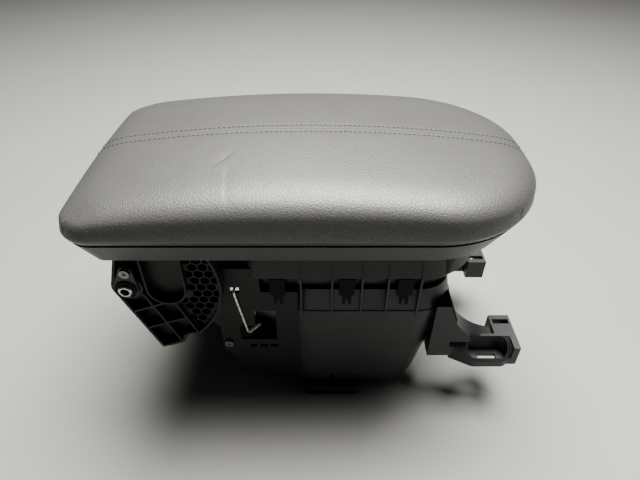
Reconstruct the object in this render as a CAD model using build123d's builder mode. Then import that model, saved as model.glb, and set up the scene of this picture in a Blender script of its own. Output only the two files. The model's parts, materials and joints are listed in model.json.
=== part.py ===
from build123d import *
import os
from math import atan, cos, degrees, hypot, radians, sin, sqrt, tan

os.makedirs("parts", exist_ok=True)

# The frame's origin lies on the floor below the lid's centre: +X to the lid's free end, near side at -Y

# Lid: plan outline, pad and band
lid_length = 329.0
lid_width = 191.0
lid_rear_corner = 23.0
lid_front_corner = 81.0
pad_height = 39.0
pad_side_lean = 3.0
pad_lean_height = 5.0
pad_edge_round = 13.0
pad_hem_round = 2.0
crown_radius_along = 1020.0
crown_radius_across = 500.0
band_height = 21.0
band_setback = 3.5
band_inset = 11.5
lid_wall = 2.6
lid_floor = 2.6
carrier_thickness = 3.0
carrier_rib_height = 5.0
carrier_rib_width = 2.0
carrier_rib_pitch = 40.0
lid_screw_pitch_x = 190.0
lid_screw_pitch_y = 104.0
lid_boss_radius = 6.0

# Bin: tub, shoulder, neck groove, collar and rim
tub_rear = -27.0
tub_floor_front = 92.0
tub_front = 116.0
tub_half_width = 65.0
tub_rear_corner = 27.0
tub_front_corner = 30.0
tub_bottom_round = 24.0
shoulder_z = 108.0
shoulder_height = 20.0
shoulder_ledge = 0.8
shoulder_inset = 4.0
neck_rear = -47.0
neck_front = 122.0
neck_half_width = 56.0
neck_height = 17.0
neck_rear_corner = 11.0
neck_front_corner = 41.0
collar_overhang = 10.5
collar_height = 27.0
collar_inset = 6.0
rim_lip = 3.0
rim_width = 9.0
bin_wall = 2.6
rib_width = 1.4
rib_proud = 0.8
rib_drop = 6.0
rib_stations = (-8.0, 16.0, 39.0, 59.0, 84.0)
mat_thickness = 2.0
mat_margin = 1.0
lug_x = 18.5
lug_length = 53.0
lug_reach = 70.0
lug_height = 12.0
lug_corner = 7.0
lug_hole_radius = 3.3
lug_hole_y = 62.0
rear_lug_x = -62.0
rear_lug_half_width = 36.0

# Hinge: pin, sectors on the lid, brackets on the bin
hinge_x = -135.0
hinge_z = 146.0
pin_radius = 5.0
pin_bore_radius = 3.4
pin_end = 2.0
sector_inner_y = 66.5
sector_depth = 10.0
sector_web = 2.4
sector_rim = 2.0
sector_radius = 69.0
sector_hub_radius = 11.5
sector_upper_angle = 73.0
sector_leg_angle = -70.0
sector_rib_width = 1.6
leg_rib_across = 7.0
comb_rib_across = 24.5
leg_cross_alongs = (24.0, 44.0)
comb_pitch = 7.6
comb_wall = 1.0
comb_height = 6.5
pocket_x = -107.0
pocket_z = 143.0
pocket_radius = 15.0
notch_angle = -56.0
notch_reach = 72.5
notch_radius = 8.0
bush_wall = 1.5
bush_plate = 2.0
bush_plate_radius = 9.0
bush_lug_radius = 5.0
bush_screw_x = 3.0
bush_screw_z = 16.5
clip_width = 1.0
clip_reach = 3.0
clip_groove = 0.8
washer_thickness = 1.0
washer_radius = 10.0
bracket_outer_y = 63.0
bracket_web = 3.0
bracket_rim_depth = 8.0
bracket_rim = 2.2
bracket_hub_radius = 11.0
bracket_post_x = -40.0
bracket_front_x = -11.0
bracket_top_z = 152.0
bracket_tail_x = -76.0
bracket_arm_z = 88.0
bracket_hip_z = 57.0
bracket_foot_x = -67.0
bracket_foot_z = 25.0
bracket_heel_z = 48.0
bracket_flange = 2.6
bracket_flange_y = 26.0
bracket_screw_zs = (40.0, 92.0)
bracket_screw_y = 31.0
window_rear = -60.0
window_front = -29.0
window_foot = 71.0
window_step_x = -47.0
window_step_z = 88.0
window_top = 106.0
slot_row_z = 63.0
slot_row_pitch = 9.0
slot_row_length = 6.0
slot_row_height = 3.6
side_screw_x = -71.0
side_screw_z = 67.0
wire_radius = 1.0
wire_gap = 0.4
wire_bend = 3.0
wire_top = (-60.8, 129.6)
wire_foot = (-53.1, 80.9)
wire_hook_in = 9.0
wire_hook_along = 1.5

# Front mounting arms and feet
arm_outer_y = 66.0
arm_depth = 20.0
arm_web = 4.0
arm_rim = 3.0
arm_root_x = 100.0
arm_root_foot_z = 53.0
arm_crest_x = 112.0
arm_crest_z = 114.0
arm_bow_x = 124.0
arm_bow_z = 87.0
arm_tip_x = 158.0
arm_tip_z = 67.0
arm_knee_x = 121.0
pad_seat_x = 119.0
pad_seat_inner_y = 30.0
pad_seat_foot_z = 55.0
pad_seat_top_z = 98.0
mount_screw_y = 39.0
mount_screw_zs = (64.0, 88.0)
foot_rear = 157.5
foot_front = 175.5
foot_inner_y = 35.6
foot_outer_y = 73.0
foot_top_z = 71.0
foot_height = 21.0
foot_wall = 3.0
foot_slot_y = 43.0
foot_slot_length = 14.0
foot_slot_width = 5.0
cup_rear = 131.0
cup_front = 170.0
cup_inner_y = 57.0
cup_outer_y = 75.0
cup_floor_z = 52.0
cup_floor = 3.0
cup_wall = 2.4
cup_lip = 3.0
cup_corner = 8.5
cup_slot_x = 152.0
cup_slot_y = 66.0
cup_slot_length = 16.0
cup_slot_width = 4.6

# Clips, bumpers, guide cones and screws
rim_clip_stations = (-26.0, 27.5, 72.0)
rim_clip_width = 12.0
rim_clip_tongue = 7.0
rim_clip_sheet = 1.4
rim_clip_hang = 11.0
rim_clip_notch = 2.2
bumper_radius = 3.2
bumper_x = 88.0
bumper_y = 56.2
guide_x = 100.0
guide_y = 72.0
guide_radius = 4.5
guide_tip_radius = 1.4
guide_length = 19.0
screw_radius = 1.75
screw_head_radius = 3.6
screw_head_height = 2.2
screw_recess = 3.6
screw_recess_width = 0.9
screw_recess_depth = 1.1
screw_grip = 9.0
screw_boss_radius = 4.4

# Clearances
lid_gap = 4.0
seat_gap = 0.2
bore_gap = 0.05
slide_gap = 0.3

# Heights and places that follow
neck_z = shoulder_z + shoulder_height
collar_z = neck_z + neck_height
rim_z = collar_z + collar_height
lid_under_z = rim_z + lid_gap
pad_base_z = lid_under_z + band_height
pad_top_z = pad_base_z + pad_height
carrier_z = pad_base_z - carrier_thickness
sector_outer_y = sector_inner_y + sector_depth
bush_face_y = sector_outer_y + bush_plate
clip_y = bush_face_y + slide_gap
pin_half = clip_y + clip_width + pin_end
bush_radius = pin_radius + bore_gap + bush_wall
bracket_inner_y = bracket_outer_y - bracket_web
bracket_hub_y = sector_inner_y - slide_gap - washer_thickness
wire_y = bracket_outer_y + wire_gap + wire_radius
screw_hole_radius = screw_radius + bore_gap
lid_screw_spots = [
    (x * lid_screw_pitch_x / 2, y * lid_screw_pitch_y / 2) for x in (-1, 0, 1) for y in (-1, 1)
]
sector_screw_xs = [pocket_x - pocket_radius / 2.5, pocket_x + pocket_radius / 2.5]
sector_screw_y = sector_inner_y + (sector_web + sector_depth) / 2
bush_screw_spot = (hinge_x + bush_screw_x, hinge_z + bush_screw_z)
near_side = Plane.XZ


def lid_outline(inset):
    """Draw the lid's plan outline, inside its widest line by inset."""
    Rectangle(lid_length - 2 * inset, lid_width - 2 * inset)
    fillet(vertices().group_by(Axis.X)[0], lid_rear_corner - inset)
    fillet(vertices().group_by(Axis.X)[-1], lid_front_corner - inset)


def bin_outline(rear, front, half_width, rear_corner, front_corner):
    """Draw a plan outline of the bin with its own corner radii at rear and front."""
    with Locations(((rear + front) / 2, 0)):
        Rectangle(front - rear, 2 * half_width)
    fillet(vertices().group_by(Axis.X)[0], rear_corner)
    fillet(vertices().group_by(Axis.X)[-1], front_corner)


def neck_outline(inset):
    """Draw the neck's plan outline, inside its skin by inset."""
    bin_outline(
        neck_rear + inset,
        neck_front - inset,
        neck_half_width - inset,
        neck_rear_corner - inset,
        neck_front_corner - inset,
    )


def shoulder_outline(inset):
    """Draw the shoulder's plan outline at its foot, inside its skin by inset."""
    ledge = inset + shoulder_ledge
    bin_outline(
        tub_rear + ledge,
        tub_front - ledge,
        tub_half_width - ledge,
        tub_rear_corner - ledge,
        tub_front_corner - ledge,
    )


def bin_form(inset, top_z):
    """Make the bin's outer form, drawn inside its skin by inset and ending at top_z."""
    with BuildPart() as form:
        with BuildSketch(Plane.XZ):
            with BuildLine():
                Polyline(
                    (tub_rear + inset, inset),
                    (tub_floor_front - inset, inset),
                    (tub_front - inset, shoulder_z),
                    (tub_rear + inset, shoulder_z),
                    close=True,
                )
            make_face()
        extrude(amount=tub_half_width - inset, both=True)
        fillet(faces().sort_by(Axis.X)[-1].edges().filter_by(Axis.Y, reverse=True), tub_front_corner - inset)
        fillet(edges().filter_by(Axis.Z), tub_rear_corner - inset)
        fillet(faces().sort_by(Axis.Z)[0].edges(), tub_bottom_round - inset)
        with BuildSketch(Plane.XY.offset(shoulder_z)):
            shoulder_outline(inset)
        extrude(amount=shoulder_height - inset, taper=degrees(atan(shoulder_inset / shoulder_height)))
        with BuildSketch(Plane.XY.offset(neck_z + inset)):
            neck_outline(inset)
        extrude(amount=neck_height)
        if inset > 0:
            with BuildSketch(Plane.XY.offset(neck_z - inset)):
                neck_outline(inset)
                with BuildSketch(mode=Mode.INTERSECT):
                    shoulder_outline(inset + shoulder_inset)
            extrude(amount=2 * inset)
        with BuildSketch(Plane.XY.offset(collar_z + inset)):
            neck_outline(inset - collar_overhang)
        extrude(amount=top_z - collar_z - inset, taper=degrees(atan(collar_inset / collar_height)))
    return form.part


def pan_screws(seats, length):
    """Add pan-head screws with their heads on the given seats and their shanks along each seat's -Z."""
    with Locations(*seats):
        Cylinder(screw_radius, length, align=(Align.CENTER, Align.CENTER, Align.MAX))
        Cylinder(screw_head_radius, screw_head_height, align=(Align.CENTER, Align.CENTER, Align.MIN))
    with Locations(*[seat * Pos(0, 0, screw_head_height) for seat in seats]):
        Box(screw_recess, screw_recess_width, 2 * screw_recess_depth, mode=Mode.SUBTRACT)
        Box(screw_recess_width, screw_recess, 2 * screw_recess_depth, mode=Mode.SUBTRACT)


def leg_point(along, across):
    """Return the side-view point at the given distances along and across the sector's leg from the hinge."""
    leg = radians(sector_leg_angle)
    x = hinge_x + along * cos(leg) - across * sin(leg)
    z = hinge_z + along * sin(leg) + across * cos(leg)
    return (x, z)


def sector_outline():
    """Draw the sector: a disc about the hinge, cut by two lines tangent to its hub, the lid and the notch."""
    upper = radians(sector_upper_angle)
    notch = radians(notch_angle)
    hub_x = hinge_x - sector_hub_radius * sin(upper)
    hub_z = hinge_z + sector_hub_radius * cos(upper)
    reach = 2 * sector_radius
    with Locations((hinge_x, hinge_z)):
        Circle(sector_radius)
    Polygon(
        (hub_x + (lid_under_z - hub_z) / tan(upper), lid_under_z),
        (hub_x, hub_z),
        leg_point(0, -sector_hub_radius),
        leg_point(reach, -sector_hub_radius),
        (hinge_x + reach, hinge_z - reach),
        (hinge_x + reach, lid_under_z),
        align=None,
        mode=Mode.INTERSECT,
    )
    with Locations((hinge_x, hinge_z)):
        Circle(sector_hub_radius)
    with Locations((hinge_x + notch_reach * cos(notch), hinge_z + notch_reach * sin(notch))):
        Circle(notch_radius, mode=Mode.SUBTRACT)


def pocket_outline(inset, mode):
    """Draw the sector's screw pocket, round below and open to the lid above, inside its skin by inset."""
    radius = pocket_radius - inset
    with Locations((pocket_x, pocket_z)):
        Circle(radius, mode=mode)
    with Locations((pocket_x, (pocket_z + lid_under_z) / 2)):
        Rectangle(2 * radius, lid_under_z - pocket_z, mode=mode)


def comb_area(inset):
    """Draw the honeycomb's area, between the slanted rib, pocket, arc and lid, inside its edge by inset."""
    across = comb_rib_across + inset
    reach = 2 * sector_radius
    sector_outline()
    if inset:
        offset(amount=-inset)
    Polygon(
        leg_point(-reach, across),
        leg_point(reach, across),
        leg_point(reach, reach),
        leg_point(-reach, reach),
        align=None,
        mode=Mode.INTERSECT,
    )
    pocket_outline(sector_rib_width - inset, Mode.SUBTRACT)


def comb_cells():
    """Return the centres of the honeycomb's cells, each with most of its cell inside the comb's area."""
    leg = radians(sector_leg_angle)
    row_step = comb_pitch * sqrt(3) / 2
    cells = []
    for row in range(int(2 * sector_radius / row_step)):
        z = hinge_z - sector_radius + row * row_step
        for column in range(int(sector_radius / comb_pitch) + 1):
            x = hinge_x + (column + row % 2 / 2) * comb_pitch
            across = (z - hinge_z) * cos(leg) - (x - hinge_x) * sin(leg)
            in_arc = hypot(x - hinge_x, z - hinge_z) < sector_radius - sector_rim
            off_rib = across > comb_rib_across + sector_rim
            off_pocket = hypot(x - pocket_x, min(z - pocket_z, 0)) > pocket_radius + comb_wall
            if in_arc and off_rib and off_pocket and z < lid_under_z - sector_rim:
                cells.append((x, z))
    return cells


# Armrest pad: outline prism under a crown that is round both along and across
with BuildPart() as armrest_pad:
    with BuildSketch(Plane.XY.offset(pad_base_z)):
        lid_outline(pad_side_lean)
    with BuildSketch(Plane.XY.offset(pad_base_z + pad_lean_height)):
        lid_outline(0)
    loft(ruled=True)
    with BuildSketch(Plane.XY.offset(pad_base_z + pad_lean_height)):
        lid_outline(0)
    extrude(amount=pad_height)
    crown_edge_z = pad_top_z - crown_radius_across + sqrt(crown_radius_across**2 - lid_width**2 / 2)
    crown_edge_y = lid_width / sqrt(2)
    with BuildSketch(Plane.YZ):
        with BuildLine():
            ThreePointArc((-crown_edge_y, crown_edge_z), (0, pad_top_z), (crown_edge_y, crown_edge_z))
            Polyline(
                (crown_edge_y, crown_edge_z),
                (crown_edge_y, pad_base_z - pad_height),
                (-crown_edge_y, pad_base_z - pad_height),
                (-crown_edge_y, crown_edge_z),
            )
        make_face()
    revolve(axis=Axis((0, 0, pad_top_z - crown_radius_along), (0, 1, 0)), mode=Mode.INTERSECT)
    fillet(faces().sort_by(Axis.Z)[-1].edges(), pad_edge_round)
    fillet(faces().sort_by(Axis.Z)[0].edges(), pad_hem_round)
armrest_pad.part.label = "armrest_pad"
export_step(armrest_pad.part, "parts/armrest_pad.step")

# Pad carrier: a flat plate with crossed ribs inside the band
carrier_inset = band_setback + lid_wall + band_inset * carrier_thickness / band_height + slide_gap
rib_inset = carrier_inset + lid_wall + band_inset * carrier_rib_height / band_height
with BuildPart() as pad_carrier:
    with BuildSketch(Plane.XY.offset(carrier_z)):
        lid_outline(carrier_inset)
    extrude(amount=carrier_thickness)
    with BuildSketch(Plane.XY.offset(carrier_z)):
        with GridLocations(carrier_rib_pitch, 1, 6, 1):
            Rectangle(carrier_rib_width, lid_width)
        with GridLocations(1, carrier_rib_pitch, 1, 4):
            Rectangle(lid_length, carrier_rib_width)
        with BuildSketch(Plane.XY, mode=Mode.INTERSECT):
            lid_outline(rib_inset)
        with Locations(*lid_screw_spots):
            Circle(lid_boss_radius + slide_gap, mode=Mode.SUBTRACT)
    extrude(amount=-carrier_rib_height)
    with Locations(*[Location((x, y, carrier_z), (180, 0, 0)) for x, y in lid_screw_spots]):
        Hole(screw_hole_radius, depth=carrier_thickness)
pad_carrier.part.label = "pad_carrier"
export_step(pad_carrier.part, "parts/pad_carrier.step")

# Lid shell: the leaning band with the lid's floor, screw bosses and sector bosses
sector_boss_spots = [(x, side * sector_screw_y) for x in sector_screw_xs for side in (-1, 1)]
with BuildPart() as lid_shell:
    with BuildSketch(Plane.XY.offset(lid_under_z)):
        lid_outline(band_setback + band_inset)
    with BuildSketch(Plane.XY.offset(pad_base_z)):
        lid_outline(band_setback)
    loft(ruled=True)
    with BuildSketch(Plane.XY.offset(lid_under_z + lid_floor)):
        lid_outline(band_setback + lid_wall + band_inset * (1 - lid_floor / band_height))
    with BuildSketch(Plane.XY.offset(pad_base_z)):
        lid_outline(band_setback + lid_wall)
    loft(ruled=True, mode=Mode.SUBTRACT)
    with BuildSketch(Plane.XY.offset(lid_under_z)):
        with Locations(*lid_screw_spots):
            Circle(lid_boss_radius)
    extrude(amount=carrier_z - lid_under_z)
    with BuildSketch(Plane.XY.offset(lid_under_z)):
        with Locations(*sector_boss_spots):
            Circle(screw_boss_radius)
    extrude(amount=lid_floor + screw_grip)
    with Locations(*[Location((x, y, lid_under_z), (180, 0, 0)) for x, y in lid_screw_spots]):
        CounterBoreHole(screw_hole_radius, screw_head_radius + slide_gap, screw_head_height + slide_gap)
    with Locations(*[Location((x, y, lid_under_z), (180, 0, 0)) for x, y in sector_boss_spots]):
        Hole(screw_hole_radius, depth=lid_floor + screw_grip)
lid_shell.part.label = "lid_shell"
export_step(lid_shell.part, "parts/lid_shell.step")

# Lid screws, from the lid's floor into the carrier
lid_screw_seat_z = lid_under_z + screw_head_height + slide_gap
with BuildPart() as lid_screws:
    pan_screws(
        [Location((x, y, lid_screw_seat_z), (180, 0, 0)) for x, y in lid_screw_spots],
        pad_base_z - lid_screw_seat_z - slide_gap,
    )
lid_screws.part.label = "lid_screws"
export_step(lid_screws.part, "parts/lid_screws.step")

# Guide cones under the lid's front corners
with BuildPart() as guide_cones:
    with Locations((guide_x, -guide_y, lid_under_z), (guide_x, guide_y, lid_under_z)):
        Cone(
            guide_tip_radius,
            guide_radius,
            guide_length,
            align=(Align.CENTER, Align.CENTER, Align.MAX),
        )
guide_cones.part.label = "guide_cones"
export_step(guide_cones.part, "parts/guide_cones.step")

# Hinge sectors: web, rim, hub, pocket wall, leg ribs and honeycomb, mirrored for the far side
with BuildPart() as hinge_sector_near:
    with BuildSketch(near_side.offset(sector_inner_y)):
        sector_outline()
    extrude(amount=sector_web)
    with BuildSketch(near_side.offset(sector_inner_y)):
        sector_outline()
        offset(amount=-sector_rim, mode=Mode.SUBTRACT)
        with Locations((hinge_x, hinge_z)):
            Circle(sector_hub_radius)
        with Locations(bush_screw_spot):
            Circle(screw_boss_radius)
    extrude(amount=sector_depth)
    with BuildSketch(near_side.offset(sector_inner_y)):
        pocket_outline(0, Mode.ADD)
        pocket_outline(sector_rib_width, Mode.SUBTRACT)
        leg_rib_length = sector_radius - sector_hub_radius
        with Locations(leg_point(sector_hub_radius + leg_rib_length / 2 - sector_rim, leg_rib_across)):
            Rectangle(leg_rib_length, sector_rib_width, rotation=sector_leg_angle)
        pocket_along = (hinge_z - pocket_z) + pocket_radius
        comb_rib_end = sqrt((sector_radius - sector_rim / 2) ** 2 - comb_rib_across**2)
        with Locations(leg_point((pocket_along + comb_rib_end) / 2, comb_rib_across)):
            Rectangle(comb_rib_end - pocket_along, sector_rib_width, rotation=sector_leg_angle)
        cross_middle = (comb_rib_across - sector_hub_radius) / 2
        with Locations(*[leg_point(along, cross_middle) for along in leg_cross_alongs]):
            Rectangle(sector_rib_width, comb_rib_across + sector_hub_radius, rotation=sector_leg_angle)
        pocket_outline(sector_rib_width, Mode.SUBTRACT)
    extrude(amount=sector_depth)
    with BuildSketch(near_side.offset(sector_inner_y)):
        comb_area(0)
        with BuildSketch(mode=Mode.SUBTRACT):
            comb_area(sector_rim)
            with BuildSketch(mode=Mode.INTERSECT):
                with Locations(*comb_cells()):
                    RegularPolygon((comb_pitch - comb_wall) / sqrt(3), 6, rotation=30)
    extrude(amount=comb_height)
    with BuildSketch(near_side.offset(sector_inner_y)):
        with Locations((hinge_x, hinge_z)):
            Circle(bush_radius + bore_gap)
        with Locations(bush_screw_spot):
            Circle(screw_hole_radius)
    extrude(amount=sector_depth, mode=Mode.SUBTRACT)
    with Locations(*[(x, -sector_screw_y, lid_under_z) for x in sector_screw_xs]):
        Hole(screw_hole_radius, depth=sector_rim + slide_gap)
hinge_sector_near.part.label = "hinge_sector_near"
export_step(hinge_sector_near.part, "parts/hinge_sector_near.step")

with BuildPart() as hinge_sector_far:
    mirror(hinge_sector_near.part, about=Plane.XZ)
hinge_sector_far.part.label = "hinge_sector_far"
export_step(hinge_sector_far.part, "parts/hinge_sector_far.step")

# Sector screws, up through the pocket's roof into the lid shell
with BuildPart() as sector_screws:
    pan_screws(
        [Location((x, y, lid_under_z - sector_rim), (180, 0, 0)) for x, y in sector_boss_spots],
        sector_rim + lid_floor + screw_grip - slide_gap,
    )
sector_screws.part.label = "sector_screws"
export_step(sector_screws.part, "parts/sector_screws.step")

# Hinge bushes: a sleeve in each sector with a flange and a screwed lug outside
with BuildPart() as hinge_bushes:
    with BuildSketch(near_side.offset(sector_inner_y)):
        with Locations((hinge_x, hinge_z)):
            Circle(bush_radius)
    extrude(amount=sector_depth)
    with BuildSketch(near_side.offset(sector_outer_y)):
        with Locations((hinge_x, hinge_z)):
            Circle(bush_plate_radius)
        with Locations(bush_screw_spot):
            Circle(bush_lug_radius)
        make_hull()
        with Locations(bush_screw_spot):
            Circle(screw_hole_radius, mode=Mode.SUBTRACT)
    extrude(amount=bush_plate)
    with BuildSketch(near_side.offset(sector_inner_y)):
        with Locations((hinge_x, hinge_z)):
            Circle(pin_radius + bore_gap)
    extrude(amount=sector_depth + bush_plate, mode=Mode.SUBTRACT)
    mirror(about=Plane.XZ)
hinge_bushes.part.label = "hinge_bushes"
export_step(hinge_bushes.part, "parts/hinge_bushes.step")

# Bush screws
bush_x, bush_z = bush_screw_spot
with BuildPart() as bush_screws:
    pan_screws(
        [
            Location((bush_x, -bush_face_y, bush_z), (90, 0, 0)),
            Location((bush_x, bush_face_y, bush_z), (-90, 0, 0)),
        ],
        bush_plate + sector_depth - slide_gap,
    )
bush_screws.part.label = "bush_screws"
export_step(bush_screws.part, "parts/bush_screws.step")

# Hinge pin: a hollow bar with a ring groove near each end
with BuildPart() as hinge_pin:
    with BuildSketch(near_side):
        with Locations((hinge_x, hinge_z)):
            Circle(pin_radius)
            Circle(pin_bore_radius, mode=Mode.SUBTRACT)
    extrude(amount=pin_half, both=True)
    with BuildSketch(near_side.offset(clip_y)):
        with Locations((hinge_x, hinge_z)):
            Circle(2 * pin_radius)
            Circle(pin_radius - clip_groove, mode=Mode.SUBTRACT)
    groove = extrude(amount=clip_width + slide_gap, mode=Mode.SUBTRACT)
    mirror(groove, about=Plane.XZ, mode=Mode.SUBTRACT)
    chamfer(edges().filter_by(GeomType.CIRCLE).group_by(Axis.Y)[0].sort_by(SortBy.RADIUS)[-1], clip_groove)
    chamfer(edges().filter_by(GeomType.CIRCLE).group_by(Axis.Y)[-1].sort_by(SortBy.RADIUS)[-1], clip_groove)
hinge_pin.part.label = "hinge_pin"
export_step(hinge_pin.part, "parts/hinge_pin.step")

# Retaining rings in the pin's grooves, open on one side
with BuildPart() as pin_clips:
    with BuildSketch(near_side.offset(clip_y)):
        with Locations((hinge_x, hinge_z)):
            Circle(pin_radius + clip_reach)
            Circle(pin_radius - clip_groove + bore_gap, mode=Mode.SUBTRACT)
        with Locations((hinge_x, hinge_z - pin_radius)):
            Rectangle(pin_radius, 2 * pin_radius, mode=Mode.SUBTRACT)
    extrude(amount=clip_width)
    mirror(about=Plane.XZ)
pin_clips.part.label = "pin_clips"
export_step(pin_clips.part, "parts/pin_clips.step")

# Thrust washers between the brackets' hubs and the sectors
with BuildPart() as hinge_washers:
    with BuildSketch(near_side.offset(bracket_hub_y)):
        with Locations((hinge_x, hinge_z)):
            Circle(washer_radius)
            Circle(pin_radius + bore_gap, mode=Mode.SUBTRACT)
    extrude(amount=washer_thickness)
    mirror(about=Plane.XZ)
hinge_washers.part.label = "hinge_washers"
export_step(hinge_washers.part, "parts/hinge_washers.step")

# Bin body: skin between two forms, with rim lip, ribs, floor lugs and screw bosses
bin_outer = bin_form(0, rim_z)
bin_inner = bin_form(bin_wall, rim_z - rim_lip)
bin_clear = bin_form(-seat_gap, rim_z)
mount_screw_spots = [(side * mount_screw_y, z) for side in (-1, 1) for z in mount_screw_zs]
bracket_screw_spots = [(side * bracket_screw_y, z) for side in (-1, 1) for z in bracket_screw_zs]
with BuildPart() as bin_body:
    add(bin_outer)
    with BuildSketch(Plane.XY):
        with Locations((lug_x, 0)):
            RectangleRounded(lug_length, 2 * lug_reach, lug_corner)
        with Locations(((rear_lug_x + lug_x) / 2, 0)):
            RectangleRounded(lug_x - rear_lug_x, 2 * rear_lug_half_width, lug_corner)
    extrude(amount=lug_height)
    add(bin_inner, mode=Mode.SUBTRACT)
    with BuildSketch(Plane.XY.offset(rim_z)):
        neck_outline(rim_width + collar_inset - collar_overhang)
    extrude(amount=-rim_lip - bin_wall, mode=Mode.SUBTRACT)
    for station in rib_stations:
        with BuildSketch(Plane.YZ.offset(station)):
            collar_half = neck_half_width + collar_overhang
            with BuildLine():
                Polyline(
                    (collar_half - collar_inset - bin_wall / 2, rim_z - rim_lip),
                    (collar_half - collar_inset + rib_proud, rim_z - rim_lip),
                    (collar_half + rib_proud, collar_z),
                    (tub_half_width + rib_proud, shoulder_z - rib_drop),
                    (tub_half_width - bin_wall / 2, shoulder_z - rib_drop),
                    (tub_half_width - shoulder_ledge - bin_wall / 2, shoulder_z),
                    (neck_half_width - bin_wall / 2, neck_z - bin_wall / 2),
                    (neck_half_width - bin_wall / 2, collar_z + bin_wall / 2),
                    (collar_half - bin_wall / 2, collar_z + bin_wall / 2),
                    close=True,
                )
            make_face()
            mirror(about=Plane.YZ)
        extrude(amount=rib_width / 2, both=True)
    with BuildSketch(Plane.YZ.offset(tub_rear + bin_wall / 2)):
        with Locations(*bracket_screw_spots):
            Circle(screw_boss_radius)
    extrude(amount=screw_grip)
    with BuildSketch(Plane.YZ.offset(tub_floor_front)):
        with Locations(*mount_screw_spots):
            Circle(screw_boss_radius)
    extrude(until=Until.NEXT)
    with Locations(*[Location((tub_rear, y, z), (0, -90, 0)) for y, z in bracket_screw_spots]):
        Hole(screw_hole_radius, depth=screw_grip)
    with Locations(*[Location((tub_front, y, z), (0, 90, 0)) for y, z in mount_screw_spots]):
        Hole(screw_hole_radius, depth=tub_front - tub_floor_front)
    with Locations((lug_x, -lug_hole_y, lug_height), (lug_x, lug_hole_y, lug_height)):
        Hole(lug_hole_radius, depth=lug_height)
bin_body.part.label = "bin_body"
export_step(bin_body.part, "parts/bin_body.step")

# Rubber mat on the bin's floor
with BuildPart() as bin_mat:
    with BuildSketch(Plane.XY.offset(bin_wall)):
        mat_inset = tub_bottom_round + mat_margin
        bin_outline(
            tub_rear + mat_inset,
            tub_floor_front - mat_inset - tub_bottom_round * (tub_front - tub_floor_front) / shoulder_z,
            tub_half_width - mat_inset,
            tub_rear_corner - tub_bottom_round + mat_margin,
            tub_front_corner - tub_bottom_round + mat_margin,
        )
    extrude(amount=mat_thickness)
bin_mat.part.label = "bin_mat"
export_step(bin_mat.part, "parts/bin_mat.step")

# Rubber bumpers on the rim under the lid
with BuildPart() as rim_bumpers:
    with Locations((bumper_x, -bumper_y, rim_z), (bumper_x, bumper_y, rim_z)):
        Cylinder(bumper_radius, lid_gap - slide_gap, align=(Align.CENTER, Align.CENTER, Align.MIN))
    chamfer(faces().filter_by(Plane.XY).group_by(Axis.Z)[-1].edges(), bumper_radius / 4)
rim_bumpers.part.label = "rim_bumpers"
export_step(rim_bumpers.part, "parts/rim_bumpers.step")

# Spring clips in the neck groove: a hooked sheet with a forked tongue over the shoulder
clip_face_y = max(neck_half_width + collar_overhang, tub_half_width) + rib_proud
with BuildPart() as rim_clips_near:
    with BuildSketch(Plane.XZ.offset(neck_half_width)):
        with Locations(*[(x, neck_z + neck_height / 2) for x in rim_clip_stations]):
            Rectangle(rim_clip_width, neck_height - 2 * slide_gap)
    extrude(amount=clip_face_y - neck_half_width)
    with BuildSketch(Plane.XZ.offset(neck_half_width)):
        with Locations(*[(x, neck_z + neck_height / 2) for x in rim_clip_stations]):
            Rectangle(rim_clip_width, neck_height - 2 * slide_gap - 2 * rim_clip_sheet)
    extrude(amount=clip_face_y - neck_half_width - rim_clip_sheet, mode=Mode.SUBTRACT)
    with BuildSketch(Plane.XZ.offset(clip_face_y)):
        with Locations(*[(x, neck_z - rim_clip_hang / 2 + rim_clip_sheet) for x in rim_clip_stations]):
            Rectangle(rim_clip_tongue, rim_clip_hang)
        with Locations(*[(x, neck_z - rim_clip_hang + rim_clip_sheet) for x in rim_clip_stations]):
            Rectangle(rim_clip_notch, rim_clip_hang, mode=Mode.SUBTRACT)
    extrude(amount=-rim_clip_sheet)
rim_clips_near.part.label = "rim_clips_near"
export_step(rim_clips_near.part, "parts/rim_clips_near.step")

with BuildPart() as rim_clips_far:
    mirror(rim_clips_near.part, about=Plane.XZ)
rim_clips_far.part.label = "rim_clips_far"
export_step(rim_clips_far.part, "parts/rim_clips_far.step")


def bracket_outline():
    """Draw the hinge bracket: a hub at the pin, an arm and a cheek that reaches into the bin's side."""
    with Locations((hinge_x, hinge_z)):
        Circle(bracket_hub_radius)
    Polygon(
        (hinge_x, hinge_z + bracket_hub_radius),
        (bracket_tail_x, bracket_top_z),
        (bracket_post_x, bracket_top_z),
        (bracket_post_x, neck_z - slide_gap),
        (bracket_front_x, neck_z - slide_gap),
        (bracket_front_x, bracket_foot_z),
        (bracket_foot_x, bracket_foot_z),
        (bracket_foot_x, bracket_heel_z),
        (bracket_tail_x, bracket_hip_z),
        (bracket_tail_x, bracket_arm_z),
        (hinge_x, hinge_z - bracket_hub_radius),
        align=None,
    )


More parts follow.
